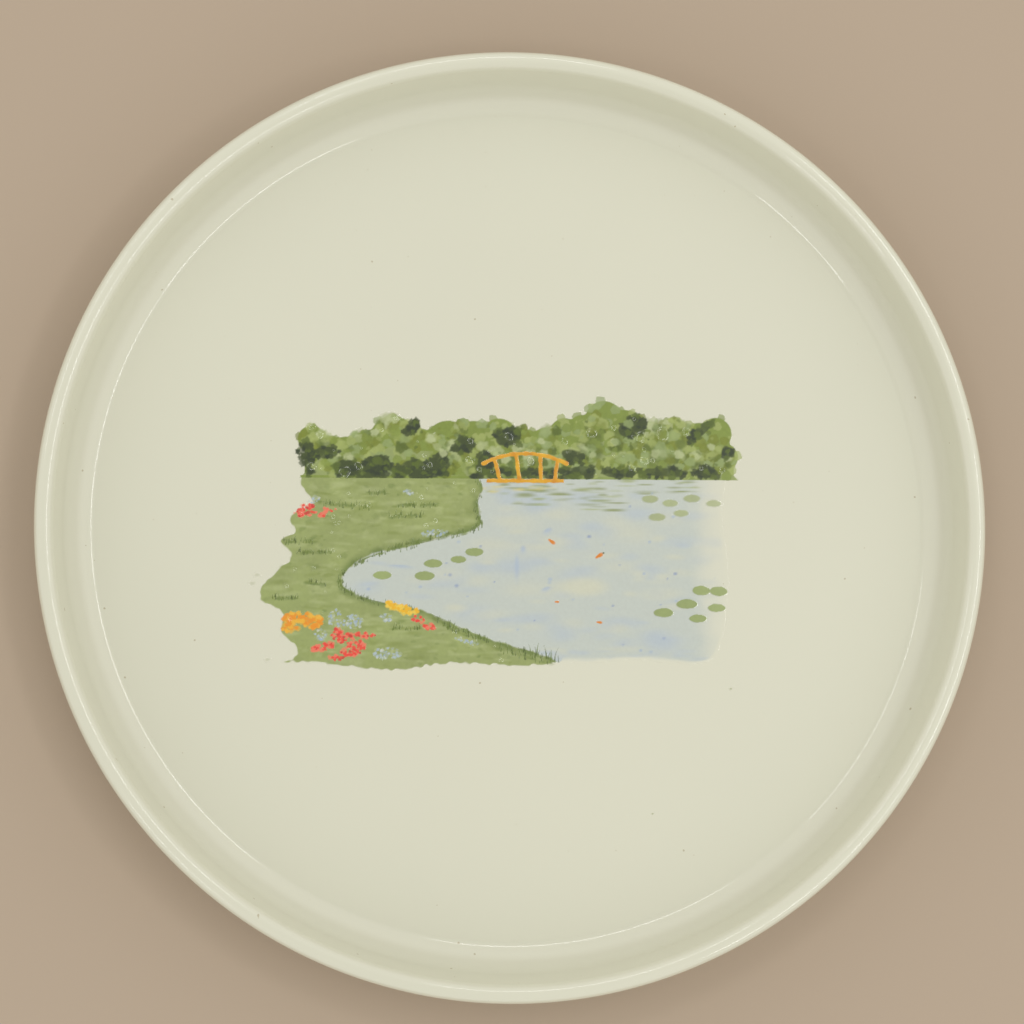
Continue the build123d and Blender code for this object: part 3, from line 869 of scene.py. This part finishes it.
def grass():
    """Tufts of blades over the meadow and along the pond's bank."""
    meadow_region, pond_region = Region("meadow_enamel"), Region("pond_enamel")
    canvas = Canvas(meadow_region.low, meadow_region.high, cell=0.13 * MM, margin=3.0 * MM)
    for x, y, length, width, tilt in islands("grass_enamel"):
        for _ in range(int(length / MM * 3.2)):
            along = spread(-0.5, 0.5) * length
            root_x = x + along * math.cos(tilt)
            root_y = y + along * math.sin(tilt) - spread(-0.3, 0.5) * width
            blade(canvas, root_x, root_y, spread(0.5, 1.3) * MM, spread(-0.4, 0.5),
                  choice([BLADE, BLADE, BLADE_DARK, GRASS_DEEP]))
    mesh = frame["nodes"]["meadow_enamel"].data
    top = meadow_region.high.y - 0.5 * MM
    edge = sorted({(round(v.co.x, 6), round(v.co.y, 6)) for v in mesh.vertices})
    bank = [p for p in edge if abs(pond_region.depth(*p)) < 0.15 * MM and p[1] < top]
    lowest = min(p[1] for p in bank)
    for _ in range(330):
        x, y = choice(bank)
        x += spread(-1.2, 1.2) * MM
        tall = ramp(np.array((lowest + 6 * MM - y) / (6 * MM)))
        if meadow_region.depth(x, y) > -0.3 * MM and noise(np.array(x), np.array(y), 4 * MM, 71) > -0.2:
            blade(canvas, x, y - spread(0, 0.9) * MM, (spread(0.5, 1.2) + tall * spread(0, 2.6)) * MM,
                  spread(-0.3, 0.4), choice([BLADE, BLADE_DARK, GRASS_DEEP]))
    canvas.piece("painted_grass", "grass_enamel", ["grass_enamel"])


def flowers(name, node, wash, tones, count, sizes, wash_strength=0.7, strength=0.9):
    """A patch of petal dabs over a thin wash of its own colour."""
    region = Region(node)
    canvas = Canvas(region.low, region.high, cell=0.13 * MM, margin=0.9 * MM)
    for x, y in region.scatter(count // 2):
        size = spread(*sizes) * 1.5 * MM
        canvas.dab(x, y, size, size * 0.8, wash, wash_strength, spread(-1, 1), soft=0.5, ragged=0.1,
                   lift=0.01 * MM)
    for x, y in region.scatter(count):
        size = spread(*sizes) * MM
        canvas.dab(x, y, size * 1.15, size, choice(tones), strength, spread(-0.6, 0.6), soft=0.4,
                   ragged=0.1, lift=0.012 * MM, rim=0.05)
    canvas.piece(name, node, [node])


def specks():
    """Stray spots of enamel on the bare glaze round the picture."""
    region = Region("speck_enamel")
    canvas = Canvas(region.low, region.high, cell=0.15 * MM, margin=0.5 * MM)
    for x, y, length, width, tilt in islands("speck_enamel"):
        strength = 0.45 if length > 1.5 * MM else 0.8
        canvas.dab(x, y, length, width, TREE_OLIVE, strength, tilt, soft=0.7, ragged=0.1, lift=0.01 * MM)
    canvas.piece("painted_specks", "speck_enamel", ["speck_enamel"])


def bubble_ring(x, y, radius):
    """The low glossy lip left by a bubble in the enamel, as points, paint colours and faces."""
    width = min(0.34 * MM, 0.6 * radius)
    spokes = 40
    steps = np.array([0.15, 0.4, 0.7, 0.95, 1.15, 1.5])
    reaches = radius + width * np.concatenate((-steps[::-1], [0], steps))
    reaches = np.maximum(reaches, 0.02 * MM * np.arange(1, len(reaches) + 1))
    turn = np.linspace(0, 2 * math.pi, spokes, endpoint=False)
    wobble = 1 + 0.10 * np.sin(2 * turn + spread(0, 6)) + 0.05 * np.sin(3 * turn + spread(0, 6))
    px = x + np.outer(reaches, wobble * np.cos(turn))
    py = y + np.outer(reaches, wobble * np.sin(turn))
    colour = np.tile(IVORY, (*px.shape, 1))
    cover = np.zeros(px.shape)
    height = np.zeros(px.shape)
    for layer in layers:
        under = layer.sample(px, py)
        here = under[3] > 0.01
        colour[here], cover[here], height[here] = under[0][here], under[1][here], under[2][here]
    away = np.abs(reaches - radius) / width
    tent = np.where(away < 1, 1.04 - np.sqrt(away ** 2 + 0.02) * 1.04, 0).clip(0, 1)[:, None]
    ridge = width * math.tan(BUBBLE_SLOPE) * tent * (0.92 + 0.12 * np.sin(turn + spread(0, 6)))
    sunk = np.where(away > 1.2, -SUNK, 0)[:, None]
    top = WELL + CLEAR * (2 + len(layers)) + height + ridge + sunk
    points = np.stack((px, py, top), -1).reshape(-1, 3)
    rgba = np.concatenate((colour, cover[..., None]), -1).reshape(-1, 4)
    return points, rgba, bands(len(reaches), spokes)


def bubbles():
    """Glossy rings where bubbles burst: large ones by the trees, and fine ones there and on the meadow."""
    low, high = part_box("treeline_enamel")
    size = high - low
    places = [(low.x + u * size.x, low.y + v * size.y, radius * MM) for u, v, radius in LARGE_BUBBLES]
    places += [(x, y, spread(0.18, 0.42) * MM) for x, y in Region("meadow_enamel").scatter(34, 1.0 * MM)]
    places += [(x, y, spread(0.18, 0.40) * MM) for x, y in Region("treeline_enamel").scatter(26, 1.0 * MM)]
    points = []
    rgba = []
    faces = []
    start = 0
    for place in places:
        ring_points, ring_rgba, ring_faces = bubble_ring(*place)
        points.append(ring_points)
        rgba.append(ring_rgba)
        faces += [[start + corner for corner in face] for face in ring_faces]
        start += len(ring_points)
    mesh = bpy.data.meshes.new("enamel_bubbles")
    mesh.from_pydata(np.vstack(points).tolist(), [], faces)
    mesh.polygons.foreach_set("use_smooth", np.ones(len(faces), bool))
    paint_mesh(mesh, np.vstack(rgba))
    add_piece("enamel_bubbles", mesh)


def picture():
    pond()
    meadow()
    trees()
    bridge()
    lily_pads()
    goldfish()
    grass()
    flowers("painted_pale_flowers", "pale_flower_enamel", PALE_BLUE,
            [PALE_BLUE, PALE_WHITE, PALE_BLUE, PALE_BLUE, GRASS_LIGHT, GRASS_LIGHT, WATER_DEEP],
            230, (0.35, 0.8), wash_strength=0.3, strength=0.7)
    flowers("painted_orange_flowers", "orange_flower_enamel", ORANGE_LIGHT,
            [ORANGE, ORANGE, ORANGE_LIGHT], 90, (0.7, 1.3), wash_strength=0.6)
    flowers("painted_yellow_flowers", "yellow_flower_enamel", YELLOW_LIGHT,
            [YELLOW, YELLOW_LIGHT, YELLOW], 46, (0.6, 1.1))
    flowers("painted_red_flowers", "red_flower_enamel", SALMON,
            [CORAL, CORAL, SALMON, CORAL, CORAL, SALMON, CORAL_DARK], 210, (0.5, 1.0))
    specks()
    bubbles()


# ---- Floor, light and camera ----
def pale_floor():
    bpy.ops.mesh.primitive_plane_add(size=6.0, location=(0, 0, 0))
    floor = bpy.context.object
    floor.name = "floor"
    material, nodes, links, shader = new_material("pale_floor")
    shader.inputs["Base Color"].default_value = (*linear((0.74, 0.67, 0.59)), 1)
    shader.inputs["Roughness"].default_value = 0.9
    floor.data.materials.append(material)


def softbox(name, azimuth, width, power):
    """A strip light aimed at the plate, its width along the rim. Azimuth 0 is the picture's right side."""
    a, t = math.radians(azimuth), math.radians(STRIP_TILT)
    light = bpy.data.lights.new(name, "AREA")
    light.shape = "RECTANGLE"
    light.size = width
    light.size_y = STRIP_DEPTH
    light.energy = power
    lamp = bpy.data.objects.new(name, light)
    bpy.context.scene.collection.objects.link(lamp)
    outward = Vector((math.sin(t) * math.cos(a), math.sin(t) * math.sin(a), math.cos(t)))
    lamp.location = STRIP_DISTANCE * outward
    along = Vector((-math.sin(a), math.cos(a), 0))
    lamp.rotation_euler = Matrix((along, outward.cross(along), outward)).transposed().to_euler()


def studio_light():
    """Strips for the glints along the crease, in a room that is brightest part of the way up."""
    for azimuth in (-38, -2, 34):
        softbox("light_right", azimuth, width=0.42, power=1.05)
    softbox("light_top", 90, width=0.46, power=0.95)
    softbox("light_upper_left", 143, width=0.50, power=0.80)
    softbox("light_lower_left", 225, width=0.26, power=0.55)
    world = bpy.data.worlds.new("studio")
    bpy.context.scene.world = world
    world.use_nodes = True
    nodes, links = world.node_tree.nodes, world.node_tree.links
    direction = nodes.new("ShaderNodeTexCoord")
    parts = nodes.new("ShaderNodeSeparateXYZ")
    links.new(direction.outputs["Generated"], parts.inputs["Vector"])
    room = colour_ramp(nodes, links, parts.outputs["Z"], [
        (0.0, (0.36, 0.31, 0.25)),
        (0.22, (0.76, 0.72, 0.65)),
        (0.45, (1.06, 1.04, 0.99)),
        (0.75, (0.70, 0.69, 0.665)),
        (1.0, (0.42, 0.415, 0.40)),
    ])
    links.new(room, nodes["Background"].inputs["Color"])


def camera():
    """A camera that looks nearly straight down, from a little left of the plate's axis and below it."""
    data = bpy.data.cameras.new("camera")
    data.sensor_width = 36
    data.lens = 70
    shooter = bpy.data.objects.new("camera", data)
    bpy.context.scene.collection.objects.link(shooter)
    aim = Vector((-0.0014, 0.0016, RIM_TOP))
    shooter.location = (-0.0334, -0.0304, RIM_TOP + 0.4345)
    back = (shooter.location - aim).normalized()
    right = Vector((0, 1, 0)).cross(back).normalized()
    up = back.cross(right)
    shooter.rotation_euler = Matrix((right, up, back)).transposed().to_euler()
    bpy.context.scene.camera = shooter


camera()
studio_light()
pale_floor()
plate()
picture()
bpy.context.scene.view_settings.view_transform = "Standard"
